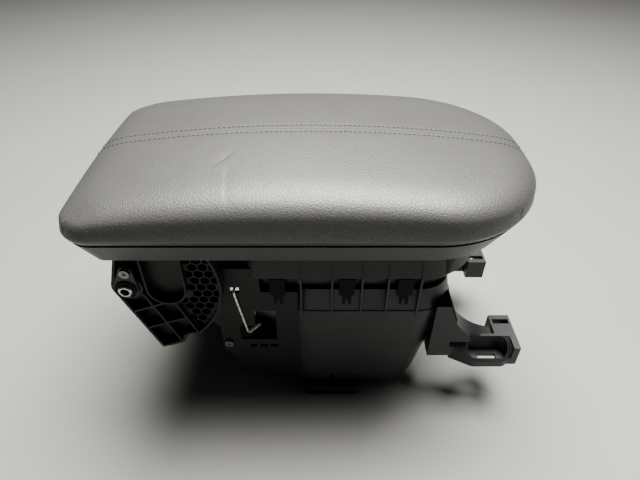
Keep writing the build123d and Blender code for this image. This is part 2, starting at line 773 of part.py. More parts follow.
# Hinge brackets behind the bin, scribed to its rounded rear corners
with BuildPart() as hinge_bracket_near:
    with BuildSketch(near_side.offset(bracket_inner_y)):
        bracket_outline()
        Polygon(
            (window_rear, window_foot),
            (window_front, window_foot),
            (window_front, window_top),
            (window_step_x, window_top),
            (window_step_x, window_step_z),
            (window_rear, window_step_z),
            align=None,
            mode=Mode.SUBTRACT,
        )
        slot_row_x = (window_rear + window_front) / 2 + slot_row_length / 2
        with Locations((slot_row_x, slot_row_z)):
            with GridLocations(slot_row_pitch, 1, 3, 1):
                Rectangle(slot_row_length, slot_row_height, mode=Mode.SUBTRACT)
        with Locations((wire_top[0] + wire_hook_along / 2, wire_top[1])):
            Rectangle(wire_hook_along + 2 * wire_bend, 2 * wire_bend, mode=Mode.SUBTRACT)
    extrude(amount=bracket_web)
    with BuildSketch(near_side.offset(bracket_inner_y)):
        bracket_outline()
        offset(amount=-bracket_rim, mode=Mode.SUBTRACT)
    extrude(amount=-bracket_rim_depth)
    with BuildSketch(near_side.offset(bracket_inner_y - bracket_rim_depth)):
        with Locations((hinge_x, hinge_z)):
            Circle(bracket_hub_radius)
    extrude(amount=bracket_hub_y - bracket_inner_y + bracket_rim_depth)
    with BuildSketch(near_side.offset(bracket_inner_y - bracket_rim_depth)):
        with Locations((side_screw_x, side_screw_z)):
            Circle(screw_boss_radius)
    extrude(amount=bracket_rim_depth)
    flange_x = tub_rear - bracket_flange
    with BuildSketch(Plane.YZ.offset(flange_x)):
        flange_width = bracket_outer_y - bracket_flange_y
        with Locations((-bracket_flange_y - flange_width / 2, (bracket_foot_z + shoulder_z) / 2)):
            Rectangle(flange_width, shoulder_z - bracket_foot_z)
    extrude(amount=bracket_flange)
    add(bin_clear, mode=Mode.SUBTRACT)
    with BuildSketch(near_side.offset(bracket_inner_y - bracket_rim_depth)):
        with Locations((hinge_x, hinge_z)):
            Circle(pin_radius + bore_gap)
        with Locations((side_screw_x, side_screw_z)):
            Circle(screw_hole_radius)
    extrude(amount=bracket_outer_y, mode=Mode.SUBTRACT)
    with Locations(*[Location((flange_x, -bracket_screw_y, z), (0, -90, 0)) for z in bracket_screw_zs]):
        Hole(screw_hole_radius, depth=bracket_flange)
hinge_bracket_near.part.label = "hinge_bracket_near"
export_step(hinge_bracket_near.part, "parts/hinge_bracket_near.step")

with BuildPart() as hinge_bracket_far:
    mirror(hinge_bracket_near.part, about=Plane.XZ)
hinge_bracket_far.part.label = "hinge_bracket_far"
export_step(hinge_bracket_far.part, "parts/hinge_bracket_far.step")

# Bracket screws: into the bin's rear wall, and one through each cheek
with BuildPart() as hinge_bracket_screws:
    pan_screws(
        [Location((flange_x, y, z), (0, -90, 0)) for y, z in bracket_screw_spots],
        bracket_flange + screw_grip - slide_gap,
    )
    pan_screws(
        [
            Location((side_screw_x, -bracket_outer_y, side_screw_z), (90, 0, 0)),
            Location((side_screw_x, bracket_outer_y, side_screw_z), (-90, 0, 0)),
        ],
        bracket_web + bracket_rim_depth,
    )
hinge_bracket_screws.part.label = "hinge_bracket_screws"
export_step(hinge_bracket_screws.part, "parts/hinge_bracket_screws.step")

# Detent spring: a bent wire on the near bracket, hooked through it at both ends
with BuildPart() as detent_spring:
    with BuildLine() as wire:
        FilletPolyline(
            (wire_top[0] + wire_hook_along, wire_hook_in - wire_y, wire_top[1] + wire_radius),
            (wire_top[0], -wire_y, wire_top[1]),
            (wire_foot[0], -wire_y, wire_foot[1]),
            (wire_foot[0] + wire_hook_in, wire_hook_in - wire_y, wire_foot[1] + wire_radius),
            radius=wire_bend,
        )
    with BuildSketch(Plane(origin=wire.line @ 0, z_dir=wire.line % 0)):
        Circle(wire_radius)
    sweep(path=wire.line)
detent_spring.part.label = "detent_spring"
export_step(detent_spring.part, "parts/detent_spring.step")


def arm_outline():
    """Draw the front arm's side outline: a hollow top curve from the bin down to the foot."""
    with BuildLine() as outline:
        ThreePointArc((arm_crest_x, arm_crest_z), (arm_bow_x, arm_bow_z), (arm_tip_x, arm_tip_z))
        Polyline(
            (arm_tip_x, arm_tip_z),
            (arm_tip_x, cup_floor_z - cup_floor),
            (cup_rear, cup_floor_z - cup_floor),
            (arm_knee_x, arm_root_foot_z),
            (arm_root_x, arm_root_foot_z),
            (arm_root_x, arm_crest_z),
            (arm_crest_x, arm_crest_z),
        )
    make_face(outline.edges())


# Front mounts: ribbed arms with a slotted foot block and a slotted cup, scribed to the bin's front corners
with BuildPart() as front_mount_near:
    with BuildSketch(near_side.offset(arm_outer_y)):
        arm_outline()
    extrude(amount=-arm_web)
    with BuildSketch(near_side.offset(arm_outer_y)):
        arm_outline()
        offset(amount=-arm_rim, mode=Mode.SUBTRACT)
    extrude(amount=-arm_depth)
    with BuildSketch(Plane.YZ.offset(arm_root_x)):
        with Locations((-(pad_seat_inner_y + arm_outer_y) / 2, (pad_seat_foot_z + pad_seat_top_z) / 2)):
            Rectangle(arm_outer_y - pad_seat_inner_y, pad_seat_top_z - pad_seat_foot_z)
    extrude(amount=pad_seat_x - arm_root_x)
    with BuildSketch(Plane.XY.offset(foot_top_z)):
        with Locations(((foot_rear + foot_front) / 2, -(foot_inner_y + foot_outer_y) / 2)):
            Rectangle(foot_front - foot_rear, foot_outer_y - foot_inner_y)
    extrude(amount=-foot_height)
    with BuildSketch(Plane.XY.offset(foot_top_z - foot_wall)):
        with Locations(((foot_rear + foot_front) / 2, -(foot_inner_y + foot_outer_y) / 2)):
            Rectangle(foot_front - foot_rear - 2 * foot_wall, foot_outer_y - foot_inner_y - 2 * foot_wall)
    extrude(amount=-foot_height, mode=Mode.SUBTRACT)
    with BuildSketch(Plane.XY.offset(cup_floor_z - cup_floor)):
        with Locations(((cup_rear + cup_front) / 2, -(cup_inner_y + cup_outer_y) / 2)):
            RectangleRounded(cup_front - cup_rear, cup_outer_y - cup_inner_y, cup_corner)
        with Locations((arm_knee_x, arm_web / 2 - arm_outer_y)):
            Circle(arm_web / 2)
        make_hull()
    extrude(amount=foot_top_z - cup_floor_z + cup_floor)
    with BuildSketch(Plane.XY.offset(cup_floor_z)):
        with Locations(((cup_rear + cup_front) / 2, -(cup_inner_y + cup_outer_y) / 2)):
            RectangleRounded(
                cup_front - cup_rear - 2 * cup_wall,
                cup_outer_y - cup_inner_y - 2 * cup_wall,
                cup_corner - cup_wall,
            )
    extrude(amount=foot_top_z, mode=Mode.SUBTRACT)
    with BuildSketch(Plane.YZ.offset(arm_knee_x - arm_web)):
        Polygon(
            (-cup_inner_y - cup_wall, foot_top_z),
            (-cup_outer_y - cup_wall, foot_top_z),
            (-cup_outer_y - cup_wall, cup_floor_z + cup_lip),
            (-cup_outer_y, cup_floor_z + cup_lip),
            align=None,
        )
    extrude(amount=cup_front - arm_knee_x + arm_web, mode=Mode.SUBTRACT)
    add(bin_clear, mode=Mode.SUBTRACT)
    with Locations((cup_slot_x, -cup_slot_y, cup_floor_z)):
        Box(cup_slot_length, cup_slot_width, 3 * cup_floor, mode=Mode.SUBTRACT)
    with Locations(((foot_rear + foot_front) / 2, -foot_slot_y, foot_top_z)):
        Box(foot_slot_length, foot_slot_width, 3 * foot_wall, mode=Mode.SUBTRACT)
    with Locations(*[Location((pad_seat_x, -mount_screw_y, z), (0, 90, 0)) for z in mount_screw_zs]):
        Hole(screw_hole_radius, depth=pad_seat_x - arm_root_x)
front_mount_near.part.label = "front_mount_near"
export_step(front_mount_near.part, "parts/front_mount_near.step")

with BuildPart() as front_mount_far:
    mirror(front_mount_near.part, about=Plane.XZ)
front_mount_far.part.label = "front_mount_far"
export_step(front_mount_far.part, "parts/front_mount_far.step")

# Front mount screws, from the seat pads into the bin's front wall
with BuildPart() as front_mount_screws:
    pan_screws(
        [Location((pad_seat_x, y, z), (0, 90, 0)) for y, z in mount_screw_spots],
        pad_seat_x - tub_floor_front - slide_gap,
    )
front_mount_screws.part.label = "front_mount_screws"
export_step(front_mount_screws.part, "parts/front_mount_screws.step")
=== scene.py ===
import json
import logging
import math
from dataclasses import dataclass, field
from enum import Enum
from typing import Union

import bmesh
import bpy
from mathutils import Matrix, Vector


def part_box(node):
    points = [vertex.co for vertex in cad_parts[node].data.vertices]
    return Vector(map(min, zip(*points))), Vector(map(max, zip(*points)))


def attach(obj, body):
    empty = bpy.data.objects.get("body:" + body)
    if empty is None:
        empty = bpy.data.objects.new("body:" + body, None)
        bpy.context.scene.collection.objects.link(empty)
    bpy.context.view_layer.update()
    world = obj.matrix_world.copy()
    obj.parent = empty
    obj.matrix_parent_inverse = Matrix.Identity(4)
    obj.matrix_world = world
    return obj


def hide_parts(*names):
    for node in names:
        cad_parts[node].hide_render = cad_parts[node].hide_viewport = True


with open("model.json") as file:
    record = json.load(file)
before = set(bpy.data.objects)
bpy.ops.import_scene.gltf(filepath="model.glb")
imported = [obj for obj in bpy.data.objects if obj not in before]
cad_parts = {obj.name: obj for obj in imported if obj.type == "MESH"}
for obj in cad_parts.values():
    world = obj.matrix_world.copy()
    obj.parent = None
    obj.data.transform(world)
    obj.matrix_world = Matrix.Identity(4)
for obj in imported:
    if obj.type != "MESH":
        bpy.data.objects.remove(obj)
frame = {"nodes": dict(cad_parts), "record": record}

LOG = logging.getLogger("console_armrest")
MM = 0.001
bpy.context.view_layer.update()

Value = Union[float, "Sock"]
Point = tuple[float, float, float]


class Body(Enum):
    """The rigid bodies that pieces ride on."""

    BASE = "base"
    LID = "lid"


class Sock:
    """An output socket of a shader node, with arithmetic that adds Math nodes."""

    def __init__(self, tree: "ShaderTree", socket: bpy.types.NodeSocket) -> None:
        """Wrap a socket of the given tree."""
        self.tree = tree
        self.socket = socket

    def math(self, operation: str, first: Value, second: Value = 0.0) -> "Sock":
        """Add one Math node.

        Args:
            operation: The Math node's operation.
            first: Its first value or link.
            second: Its second value or link.

        Returns:
            The node's output.
        """
        return self.tree.node("ShaderNodeMath", {"operation": operation}, {0: first, 1: second})

    def __add__(self, other: Value) -> "Sock":
        """Return the sum."""
        return self.math("ADD", self, other)

    def __radd__(self, other: Value) -> "Sock":
        """Return the sum with a number on the left."""
        return self.math("ADD", other, self)

    def __sub__(self, other: Value) -> "Sock":
        """Return the difference."""
        return self.math("SUBTRACT", self, other)

    def __rsub__(self, other: Value) -> "Sock":
        """Return a number less this value."""
        return self.math("SUBTRACT", other, self)

    def __mul__(self, other: Value) -> "Sock":
        """Return the product."""
        return self.math("MULTIPLY", self, other)

    def __rmul__(self, other: Value) -> "Sock":
        """Return the product with a number on the left."""
        return self.math("MULTIPLY", other, self)

    def __pow__(self, other: Value) -> "Sock":
        """Return this value to a power."""
        return self.math("POWER", self, other)

    def ramp(self, low: float, high: float) -> "Sock":
        """Return 0 below low and 1 above high, with a smooth step between.

        Args:
            low: The value where the step starts.
            high: The value where it ends.

        Returns:
            The step's output.
        """
        return self.tree.node(
            "ShaderNodeMapRange",
            {"interpolation_type": "SMOOTHSTEP"},
            {"Value": self, "From Min": low, "From Max": high},
        )


class ShaderTree:
    """A material with a Principled shader, built one node at a time."""

    def __init__(self, name: str) -> None:
        """Start a material of that name."""
        self.material = bpy.data.materials.new(name)
        self.material.use_nodes = True
        self.nodes = self.material.node_tree.nodes
        self.links = self.material.node_tree.links
        self.shader = self.nodes["Principled BSDF"]

    def fill(self, node: bpy.types.Node, inputs: dict) -> None:
        """Set or link a node's input sockets.

        Args:
            node: The node whose sockets are set.
            inputs: Socket names or numbers, with a value or a Sock for each.
        """
        for key, value in inputs.items():
            if isinstance(value, Sock):
                self.links.new(value.socket, node.inputs[key])
            else:
                node.inputs[key].default_value = value

    def node(self, kind: str, settings: dict, inputs: dict, output: Union[int, str] = 0) -> Sock:
        """Add a node of any type.

        Args:
            kind: The node's type.
            settings: Its properties, which are set first.
            inputs: Its sockets' values or links.
            output: The name or number of the output to return.

        Returns:
            The chosen output.
        """
        made = self.nodes.new(kind)
        for key, value in settings.items():
            setattr(made, key, value)
        self.fill(made, inputs)
        return Sock(self, made.outputs[output])

    def place(self) -> Sock:
        """Return the object coordinates."""
        return self.node("ShaderNodeTexCoord", {}, {}, "Object")

    def noise(self, size: float, detail: float = 2.0, rough: float = 0.5) -> Sock:
        """Return noise with features of the given size.

        Args:
            size: The size of a feature in metres.
            detail: The number of finer octaves.
            rough: The share of each finer octave.

        Returns:
            The noise value.
        """
        inputs = {"Vector": self.place(), "Scale": 1.0 / size, "Detail": detail, "Roughness": rough}
        return self.node("ShaderNodeTexNoise", {}, inputs, "Fac")

    def cells(self, size: float, feature: str, output: str = "Distance") -> Sock:
        """Return a cell pattern with cells of the given size.

        Args:
            size: The size of a cell in metres.
            feature: The Voronoi feature.
            output: The output to return.

        Returns:
            The pattern's value.
        """
        inputs = {"Vector": self.place(), "Scale": 1.0 / size}
        return self.node("ShaderNodeTexVoronoi", {"feature": feature}, inputs, output)

    def mix(self, factor: Sock, first: tuple, second: tuple) -> Sock:
        """Return a blend of two colours.

        Args:
            factor: The share of the second colour.
            first: The first colour.
            second: The second colour.

        Returns:
            The blended colour.
        """
        inputs = {0: factor, 6: (*first, 1.0), 7: (*second, 1.0)}
        return self.node("ShaderNodeMix", {"data_type": "RGBA"}, inputs, 2)

    def bump(self, height: Sock, distance: float, strength: float = 1.0) -> Sock:
        """Return a bumped normal.

        Args:
            height: The height pattern, about 0 to 1.
            distance: The depth of the pattern in metres.
            strength: The bump's strength.

        Returns:
            The normal.
        """
        inputs = {"Height": height, "Distance": distance, "Strength": strength}
        return self.node("ShaderNodeBump", {}, inputs, "Normal")

    def finish(self, inputs: dict) -> bpy.types.Material:
        """Set the shader's sockets and return the material."""
        self.fill(self.shader, inputs)
        return self.material


@dataclass(frozen=True)
class GrainedLeather:
    """Black automotive leather with a fine pebble grain and a soft overall sheen."""

    name: str = "grained_leather"
    valley: tuple = (0.027, 0.0265, 0.027)
    pebble_tone: tuple = (0.058, 0.057, 0.056)
    pebble: float = 2.1 * MM
    depth: float = 0.16 * MM
    roughness: float = 0.38
    shine: float = 0.6

    def material(self) -> bpy.types.Material:
        """Return the leather: pebbles with creases between, fine pores and slow unevenness."""
        tree = ShaderTree(self.name)
        crease = tree.cells(self.pebble, "DISTANCE_TO_EDGE").ramp(0.0, 0.3)
        small = tree.cells(self.pebble * 0.55, "DISTANCE_TO_EDGE").ramp(0.0, 0.4)
        pores = tree.noise(0.45 * MM, 3.0)
        slow = tree.noise(38 * MM, 2.0)
        grain = crease * 0.65 + small * 0.25 + pores * 0.2
        tone = tree.mix(grain * 0.8 + slow * 0.12, self.valley, self.pebble_tone)
        gloss = self.roughness + (1 - crease) * 0.12 + (slow - 0.5) * 0.04
        return tree.finish(
            {
                "Base Color": tone,
                "Roughness": gloss,
                "Specular IOR Level": self.shine,
                "Normal": tree.bump(grain + slow * 0.15, self.depth, 0.6),
            }
        )


@dataclass(frozen=True)
class MouldedPlastic:
    """Black moulded plastic with a spark-eroded texture and a trace of handling dust."""

    name: str = "moulded_plastic"
    tone: tuple = (0.013, 0.0125, 0.0155)
    dust: tuple = (0.044, 0.042, 0.046)
    stipple: float = 0.6 * MM
    depth: float = 0.05 * MM
    roughness: float = 0.46
    shine: float = 0.4

    def material(self) -> bpy.types.Material:
        """Return the plastic: stipple, flow unevenness and dusty patches."""
        tree = ShaderTree(self.name)
        stipple = tree.noise(self.stipple, 2.0)
        flow = tree.noise(24 * MM, 3.0, 0.6)
        dusty = (flow * stipple).ramp(0.22, 0.55)
        return tree.finish(
            {
                "Base Color": tree.mix(dusty * 0.55, self.tone, self.dust),
                "Roughness": self.roughness + dusty * 0.2 + (stipple - 0.5) * 0.12,
                "Specular IOR Level": self.shine,
                "Normal": tree.bump(stipple + flow * 0.2, self.depth, 0.7),
            }
        )


@dataclass(frozen=True)
class ZincSteel:
    """Zinc-plated steel with faint drawn streaks."""

    name: str = "zinc_steel"
    bright: tuple = (0.68, 0.68, 0.66)
    dull: tuple = (0.42, 0.42, 0.41)

    def material(self) -> bpy.types.Material:
        """Return the steel: clouded plating and fine scratches."""
        tree = ShaderTree(self.name)
        cloud = tree.noise(3 * MM, 3.0)
        scratch = tree.noise(0.35 * MM, 2.0)
        return tree.finish(
            {
                "Base Color": tree.mix(cloud.ramp(0.35, 0.75), self.bright, self.dull),
                "Metallic": 1.0,
                "Roughness": 0.24 + cloud * 0.2,
                "Normal": tree.bump(scratch, 0.02 * MM, 0.5),
            }
        )


@dataclass(frozen=True)
class MattRubber:
    """Matt black rubber with a fine bloom."""

    name: str = "matt_rubber"
    tone: tuple = (0.014, 0.014, 0.014)
    bloom: tuple = (0.036, 0.036, 0.035)

    def material(self) -> bpy.types.Material:
        """Return the rubber: fine stipple and a grey bloom."""
        tree = ShaderTree(self.name)
        bloom = tree.noise(6 * MM, 3.0)
        stipple = tree.noise(0.5 * MM, 2.0)
        return tree.finish(
            {
                "Base Color": tree.mix(bloom.ramp(0.4, 0.8), self.tone, self.bloom),
                "Roughness": 0.68 + bloom * 0.15,
                "Normal": tree.bump(stipple, 0.06 * MM, 0.6),
            }
        )


@dataclass(frozen=True)
class SewingThread:
    """Bonded dark thread with a twist."""

    name: str = "sewing_thread"
    tone: tuple = (0.01, 0.01, 0.01)
    light: tuple = (0.024, 0.024, 0.023)

    def material(self) -> bpy.types.Material:
        """Return the thread: fine twisted strands."""
        tree = ShaderTree(self.name)
        strand = tree.noise(0.3 * MM, 2.0)
        return tree.finish(
            {
                "Base Color": tree.mix(strand, self.tone, self.light),
                "Roughness": 0.65 + strand * 0.2,
                "Specular IOR Level": 0.15,
                "Normal": tree.bump(strand, 0.08 * MM, 0.8),
            }
        )


@dataclass(frozen=True)
class PaleFloor:
    """Pale matt floor."""

    name: str = "pale_floor"
    tone: tuple = (0.225, 0.224, 0.22)
    light: tuple = (0.25, 0.249, 0.245)

    def material(self) -> bpy.types.Material:
        """Return the floor: almost even, with slow clouding."""
        tree = ShaderTree(self.name)
        cloud = tree.noise(120 * MM, 3.0)
        return tree.finish({"Base Color": tree.mix(cloud, self.tone, self.light), "Roughness": 0.6})


def mesh_object(name: str, build: bmesh.types.BMesh, material: bpy.types.Material) -> bpy.types.Object:
    """Turn a bmesh into a smooth object.

    Args:
        name: The piece's name.
        build: The mesh, which is freed.
        material: Its finish.

    Returns:
        The object, linked to the scene.
    """
    bmesh.ops.recalc_face_normals(build, faces=build.faces[:])
    mesh = bpy.data.meshes.new(name)
    build.to_mesh(mesh)
    build.free()
    mesh.materials.append(material)
    for polygon in mesh.polygons:
        polygon.use_smooth = True
    made = bpy.data.objects.new(name, mesh)
    bpy.context.scene.collection.objects.link(made)
    return made


@dataclass
class Crease:
    """A short dent line in the leather, in plan, soft on its left side and sharper on its right."""

    start: tuple[float, float]
    end: tuple[float, float]
    soft: float
    sharp: float
    depth: float

    def drop(self, x: float, y: float) -> float:
        """Return how far the dent lowers the surface at a plan point.

        Args:
            x: The point's X in metres.
            y: The point's Y in metres.

        Returns:
            The depth there in metres.
        """
        along = (self.end[0] - self.start[0], self.end[1] - self.start[1])
        length = math.hypot(*along)
        share = ((x - self.start[0]) * along[0] + (y - self.start[1]) * along[1]) / length**2
        clamped = min(max(share, 0.0), 1.0)
        gap = math.hypot(x - self.start[0] - clamped * along[0], y - self.start[1] - clamped * along[1])
        turn = along[0] * (y - self.start[1]) - along[1] * (x - self.start[0])
        return self.depth * math.exp(-((gap / (self.soft if turn > 0 else self.sharp)) ** 2))


@dataclass
class ArmrestPad:
    """The sewn leather pad: a crowned form with a twin-stitched middle seam and a tucked hem."""

    rear_corner: float = 23 * MM
    front_corner: float = 81 * MM
    widest_rise: float = 8 * MM
    edge_width: float = 38 * MM
    edge_power: float = 3.3
    corner_blend: float = 10 * MM
    hem_tuck: float = 6 * MM
    crown_along: float = 1020 * MM
    crown_across: float = 700 * MM
    groove_width: float = 1.3 * MM
    groove_depth: float = 0.1 * MM
    row_offset: float = 5 * MM
    row_width: float = 1.6 * MM
    row_depth: float = 0.18 * MM
    step: float = 1.9 * MM
    seam_step: float = 0.4 * MM
    dent_step: float = 0.5 * MM
    fine_reach: float = 8 * MM
    dent_middle: tuple[float, float] = (-56 * MM, -40 * MM)
    creases: list[Crease] = field(
        default_factory=lambda: [
            Crease((-59.5 * MM, -43.5 * MM), (-55 * MM, -36.5 * MM), 4.5 * MM, 1.0 * MM, 0.3 * MM),
            Crease((-55 * MM, -56 * MM), (-52.5 * MM, -82 * MM), 4.0 * MM, 1.1 * MM, 0.14 * MM),
        ]
    )

    def __post_init__(self) -> None:
        """Take the pad's place from its solid."""
        low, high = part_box("armrest_pad")
        self.half_length = (high[0] - low[0]) / 2
        self.half_width = (high[1] - low[1]) / 2
        self.base = low[2]
        self.top = high[2]
        self.widest = self.base + self.widest_rise

    def corner(self, x: float) -> float:
        """Return the plan corner radius of the end that x lies on."""
        return self.front_corner if x > 0 else self.rear_corner

    def inset(self, x: float, y: float, radius: float) -> float:
        """Return how far a plan point lies inside a rounded rectangle as large as the pad.

        Args:
            x: The point's X in metres.
            y: The point's Y in metres.
            radius: The rectangle's corner radius.

        Returns:
            The distance in metres.
        """
        past_x = abs(x) - self.half_length + radius
        past_y = abs(y) - self.half_width + radius
        outside = math.hypot(max(past_x, 0.0), max(past_y, 0.0))
        return radius - outside - min(max(past_x, past_y), 0.0)

    def soft_inset(self, x: float, y: float) -> float:
        """Return the inset from the widest line, with its inner contours rounder at tight corners.

        Args:
            x: The point's X in metres.
            y: The point's Y in metres.

        Returns:
            The distance in metres.
        """
        tight = self.inset(x, y, self.corner(x))
        wide = self.inset(x, y, max(self.corner(x), self.edge_width))
        return wide + (tight - wide) * math.exp(-((tight / self.corner_blend) ** 2))

    def height(self, x: float, y: float) -> float:
        """Return the sewn surface's height at a plan point.

        Args:
            x: The point's X in metres.
            y: The point's Y in metres.

        Returns:
            The height in metres.
        """
        crown = self.top - x**2 / (2 * self.crown_along) - y**2 / (2 * self.crown_across)
        share = min(max(self.soft_inset(x, y) / self.edge_width, 0.0), 1.0)
        rise = (1 - (1 - share) ** self.edge_power) ** (1 / self.edge_power)
        level = self.widest + (crown - self.widest) * rise
        seam = self.groove_depth * math.exp(-((y / self.groove_width) ** 2))
        rows = self.row_depth * math.exp(-(((abs(y) - self.row_offset) / self.row_width) ** 2))
        wear = sum(crease.drop(x, y) for crease in self.creases)
        return level - (seam + rows) * rise - wear

    def lines(self, half: float, fine: list[tuple[float, float, float]]) -> list[float]:
        """Return grid lines from -half to half, closer together in the fine bands.

        Args:
            half: The half span in metres.
            fine: Bands, each with its middle, half width and step.

        Returns:
            The line positions, rising.
        """
        at = -half
        found = []
        while at < half:
            found.append(at)
            closer = [small for middle, reach, small in fine if abs(at - middle) < reach]
            at += min(closer, default=self.step)
        found.append(half)
        return found

    def plan(self, x: float, y: float) -> tuple[float, float]:
        """Move a point of the rectangular grid so that its outer rings follow the rounded outline.

        Args:
            x: The grid point's X in metres.
            y: The grid point's Y in metres.

        Returns:
            The plan point.
        """
        ring = max(abs(x) / self.half_length, abs(y) / self.half_width)
        radius = self.corner(x) * ring**3
        centre_x = ring * self.half_length - radius
        centre_y = ring * self.half_width - radius
        past_x = abs(x) - centre_x
        past_y = abs(y) - centre_y
        if radius == 0 or past_x <= 0 or past_y <= 0:
            return x, y
        pull = radius / math.hypot(past_x, past_y)
        moved_x = centre_x + past_x * pull
        moved_y = centre_y + past_y * pull
        return math.copysign(moved_x, x), math.copysign(moved_y, y)

    def normal(self, x: float, y: float) -> tuple[float, float]:
        """Return the outline's outward direction at a point on its widest line."""
        radius = self.corner(x)
        past_x = max(abs(x) - self.half_length + radius, 0.0)
        past_y = max(abs(y) - self.half_width + radius, 0.0)
        length = math.hypot(past_x, past_y)
        return math.copysign(past_x / length, x), math.copysign(past_y / length, y)

    def side(self) -> list[tuple[float, float]]:
        """Return the side's profile below the widest line, as inset and height."""
        rise = self.widest_rise
        shape = ((0.05, 0.8), (0.2, 0.55), (0.45, 0.3), (0.72, 0.12), (1.0, 0.0))
        return [(self.hem_tuck * inset, self.base + rise * level) for inset, level in shape]

    def build(self, material: bpy.types.Material) -> bpy.types.Object:
        """Build the pad.

        Args:
            material: The leather.

        Returns:
            The finished pad, riding on the lid.
        """
        dent_x, dent_y = self.dent_middle
        dent = (self.fine_reach, self.dent_step)
        rows_x = self.lines(self.half_length, [(dent_x, *dent)])
        rows_y = self.lines(self.half_width, [(0.0, self.fine_reach, self.seam_step), (dent_y, *dent)])
        build = bmesh.new()
        grid = []
        for x in rows_x:
            column = []
            for y in rows_y:
                px, py = self.plan(x, y)
                column.append(build.verts.new((px, py, self.height(px, py))))
            grid.append(column)
        for left, right in zip(grid, grid[1:]):
            for index in range(len(rows_y) - 1):
                build.faces.new((left[index], right[index], right[index + 1], left[index + 1]))
        rim = [column[0] for column in grid] + grid[-1][1:]
        rim += [column[-1] for column in reversed(grid[:-1])] + list(reversed(grid[0][1:-1]))
        ring = rim
        for inset, level in self.side():
            lower = []
            for vertex in rim:
                out_x, out_y = self.normal(vertex.co.x, vertex.co.y)
                lower.append(
                    build.verts.new((vertex.co.x - inset * out_x, vertex.co.y - inset * out_y, level))
                )
            for index in range(len(ring)):
                after = (index + 1) % len(ring)
                build.faces.new((ring[index], lower[index], lower[after], ring[after]))
            ring = lower
        build.faces.new(ring)
        pad = mesh_object("leather_pad", build, material)
        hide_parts("armrest_pad")
        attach(pad, Body.LID.value)
        LOG.info("leather_pad: %d faces", len(pad.data.polygons))
        return pad

    def seam_path(self, offset: float) -> list[Point]:
        """Return a stitch row's path over the pad from hem to hem.

        Args:
            offset: The row's distance from the middle seam.

        Returns:
            The path's points.
        """
        over = self.lines(self.half_length - 0.05 * MM, [])
        path = [(x, offset, self.height(x, offset)) for x in over]
        hems = self.side()[:-1]
        front = [(self.half_length - inset, offset, level) for inset, level in hems]
        rear = [(inset - self.half_length, offset, level) for inset, level in reversed(hems)]
        return rear + path + front


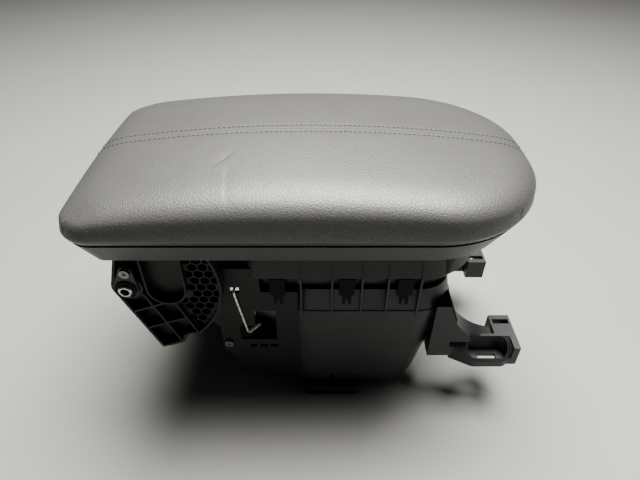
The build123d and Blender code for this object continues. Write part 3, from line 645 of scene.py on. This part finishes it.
@dataclass
class StitchRows:
    """The seam's two rows of topstitching, laid along the pad by a node tree."""

    pad: ArmrestPad
    pitch: float = 3.6 * MM
    length: float = 2.7 * MM
    radius: float = 0.52 * MM
    sunk: float = 0.05 * MM

    def tree(self, material: bpy.types.Material) -> bpy.types.GeometryNodeTree:
        """Make the node tree that lays stitches along a curve.

        Args:
            material: The thread.

        Returns:
            The tree, with inputs for pitch, length and radius.
        """
        tree = bpy.data.node_groups.new("stitch_row", "GeometryNodeTree")
        face = tree.interface
        face.new_socket("Geometry", in_out="INPUT", socket_type="NodeSocketGeometry")
        for name in ("Pitch", "Length", "Radius"):
            face.new_socket(name, in_out="INPUT", socket_type="NodeSocketFloat")
        face.new_socket("Geometry", in_out="OUTPUT", socket_type="NodeSocketGeometry")
        start = tree.nodes.new("NodeGroupInput")
        points = tree.nodes.new("GeometryNodeCurveToPoints")
        points.mode = "LENGTH"
        stitch = tree.nodes.new("GeometryNodeMeshUVSphere")
        stitch.inputs["Segments"].default_value = 8
        stitch.inputs["Rings"].default_value = 6
        stitch.inputs["Radius"].default_value = 1.0
        size = tree.nodes.new("ShaderNodeCombineXYZ")
        half = tree.nodes.new("ShaderNodeMath")
        half.operation = "MULTIPLY"
        half.inputs[1].default_value = 0.5
        lay = tree.nodes.new("GeometryNodeInstanceOnPoints")
        solid = tree.nodes.new("GeometryNodeRealizeInstances")
        smooth = tree.nodes.new("GeometryNodeSetShadeSmooth")
        dress = tree.nodes.new("GeometryNodeSetMaterial")
        dress.inputs["Material"].default_value = material
        end = tree.nodes.new("NodeGroupOutput")
        joined = (
            (start.outputs["Geometry"], points.inputs["Curve"]),
            (start.outputs["Pitch"], points.inputs["Length"]),
            (start.outputs["Length"], half.inputs[0]),
            (start.outputs["Radius"], size.inputs["X"]),
            (start.outputs["Radius"], size.inputs["Y"]),
            (half.outputs[0], size.inputs["Z"]),
            (points.outputs["Points"], lay.inputs["Points"]),
            (points.outputs["Rotation"], lay.inputs["Rotation"]),
            (stitch.outputs["Mesh"], lay.inputs["Instance"]),
            (size.outputs[0], lay.inputs["Scale"]),
            (lay.outputs["Instances"], solid.inputs["Geometry"]),
            (solid.outputs["Geometry"], smooth.inputs["Geometry"]),
            (smooth.outputs["Geometry"], dress.inputs["Geometry"]),
            (dress.outputs["Geometry"], end.inputs["Geometry"]),
        )
        for source, target in joined:
            tree.links.new(source, target)
        return tree

    def build(self, material: bpy.types.Material) -> bpy.types.Object:
        """Build both rows as one plain mesh.

        Args:
            material: The thread.

        Returns:
            The stitches, riding on the lid.
        """
        curve = bpy.data.curves.new("seam_rows", "CURVE")
        curve.dimensions = "3D"
        for side in (-1, 1):
            path = self.pad.seam_path(side * self.pad.row_offset)
            spline = curve.splines.new("POLY")
            spline.points.add(len(path) - 1)
            for point, (x, y, z) in zip(spline.points, path):
                point.co = (x, y, z - self.sunk, 1.0)
        row = bpy.data.objects.new("seam_rows", curve)
        bpy.context.scene.collection.objects.link(row)
        modifier = row.modifiers.new("stitch_row", "NODES")
        modifier.node_group = self.tree(material)
        sizes = {"Pitch": self.pitch, "Length": self.length, "Radius": self.radius}
        for item in modifier.node_group.interface.items_tree:
            if item.in_out == "INPUT" and item.name in sizes:
                modifier[item.identifier] = sizes[item.name]
        depsgraph = bpy.context.evaluated_depsgraph_get()
        mesh = bpy.data.meshes.new_from_object(row.evaluated_get(depsgraph))
        stitches = bpy.data.objects.new("seam_stitches", mesh)
        bpy.context.scene.collection.objects.link(stitches)
        row.modifiers.remove(modifier)
        bpy.data.objects.remove(row)
        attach(stitches, Body.LID.value)
        LOG.info("seam_stitches: %d faces", len(mesh.polygons))
        return stitches


@dataclass
class RigidPieces:
    """The hard pieces of the frame, each with its finish."""

    plastic: bpy.types.Material
    dark: bpy.types.Material
    band: bpy.types.Material
    steel: bpy.types.Material
    dull_steel: bpy.types.Material
    spring_black: bpy.types.Material
    rubber: bpy.types.Material
    washer: bpy.types.Material

    def dress(self) -> None:
        """Give every solid that shows its finish, chosen by its material slot."""
        by_slot = {
            "band_plastic": self.band,
            "black_plastic": self.plastic,
            "hidden_plastic": self.plastic,
            "washer_plastic": self.washer,
            "rubber": self.rubber,
            "steel": self.steel,
            "clip_steel": self.spring_black,
            "leather": self.rubber,
        }
        by_node = {
            "pin_clips": self.spring_black,
            "sector_screws": self.spring_black,
            "bush_screws": self.dull_steel,
            "hinge_bracket_screws": self.dull_steel,
            "hinge_sector_near": self.dark,
            "hinge_sector_far": self.dark,
            "hinge_bracket_near": self.dark,
            "hinge_bracket_far": self.dark,
        }
        for part in frame["record"]["subparts"]:
            solid = frame["nodes"][part["node"]]
            finish = by_node.get(part["node"], by_slot[part["material_slot"]])
            solid.data.materials.clear()
            solid.data.materials.append(finish)
            LOG.info("%s: %s", part["node"], finish.name)


@dataclass(frozen=True)
class Softbox:
    """A soft rectangular light: its place, its two side lengths and its power."""

    name: str
    at: Point
    size: tuple[float, float]
    watts: float


@dataclass
class Studio:
    """Floor, lights and camera."""

    camera_at: Point = (6.7 * MM, -328.5 * MM, 395 * MM)
    camera_pitch: float = 39.0
    lens: float = 27.0
    sensor: float = 36.0
    floor_reach: float = 6.0
    lamp_tint: Point = (1.0, 0.99, 0.91)

    softboxes: tuple[Softbox, ...] = (
        Softbox("top_softbox", (0.12, 0.24, 1.25), (1.0, 0.65), 104.0),
        Softbox("right_fill", (1.3, -0.1, 0.4), (0.9, 0.7), 0.8),
    )
    aim: Point = (0.0, 0.0, 0.2)
    air_tint: tuple = (0.9, 0.92, 0.95, 1.0)
    air_strength: float = 0.025

    def light(self, box: Softbox) -> None:
        """Add a softbox that faces the object."""
        lamp = bpy.data.lights.new(box.name, "AREA")
        lamp.shape = "RECTANGLE"
        lamp.size, lamp.size_y = box.size
        lamp.energy = box.watts
        lamp.color = self.lamp_tint
        made = bpy.data.objects.new(box.name, lamp)
        made.location = box.at
        made.rotation_euler = (Vector(self.aim) - Vector(box.at)).to_track_quat("-Z", "Y").to_euler()
        bpy.context.scene.collection.objects.link(made)

    def build(self, floor: bpy.types.Material) -> None:
        """Set up the floor, the lights and the camera.

        Args:
            floor: The floor's finish.
        """
        build = bmesh.new()
        bmesh.ops.create_grid(build, x_segments=1, y_segments=1, size=self.floor_reach)
        ground = mesh_object("studio_floor", build, floor)
        for box in self.softboxes:
            self.light(box)
        world = bpy.data.worlds.new("studio_air")
        world.use_nodes = True
        air = world.node_tree.nodes["Background"]
        air.inputs["Color"].default_value = self.air_tint
        air.inputs["Strength"].default_value = self.air_strength
        bpy.context.scene.world = world
        lens = bpy.data.cameras.new("photo_camera")
        lens.lens = self.lens
        lens.sensor_width = self.sensor
        camera = bpy.data.objects.new("photo_camera", lens)
        camera.location = self.camera_at
        camera.rotation_euler = (math.radians(90.0 - self.camera_pitch), 0.0, 0.0)
        bpy.context.scene.collection.objects.link(camera)
        bpy.context.scene.camera = camera


def main() -> None:
    """Build the pieces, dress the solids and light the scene."""
    logging.basicConfig(level=logging.INFO, format="%(name)s %(message)s")
    pad = ArmrestPad()
    pad.build(GrainedLeather().material())
    StitchRows(pad).build(SewingThread().material())
    RigidPieces(
        plastic=MouldedPlastic().material(),
        dark=MouldedPlastic(
            name="dark_plastic",
            tone=(0.007, 0.0067, 0.008),
            dust=(0.024, 0.023, 0.025),
            stipple=0.6 * MM,
            depth=0.05 * MM,
            roughness=0.46,
            shine=0.22,
        ).material(),
        band=MouldedPlastic(
            name="band_plastic",
            tone=(0.062, 0.062, 0.062),
            dust=(0.085, 0.085, 0.084),
            stipple=0.5 * MM,
            depth=0.04 * MM,
            roughness=0.5,
        ).material(),
        steel=ZincSteel().material(),
        dull_steel=ZincSteel("dull_steel", (0.2, 0.2, 0.195), (0.1, 0.1, 0.098)).material(),
        spring_black=MouldedPlastic(
            name="black_spring_steel",
            tone=(0.004, 0.004, 0.004),
            dust=(0.009, 0.009, 0.009),
            stipple=0.8 * MM,
            depth=0.02 * MM,
            roughness=0.6,
            shine=0.1,
        ).material(),
        rubber=MattRubber().material(),
        washer=MouldedPlastic(
            name="washer_plastic",
            tone=(0.42, 0.42, 0.4),
            dust=(0.5, 0.5, 0.48),
            stipple=0.6 * MM,
            depth=0.03 * MM,
            roughness=0.45,
        ).material(),
    ).dress()
    Studio().build(PaleFloor().material())


if __name__ == "__main__":
    main()
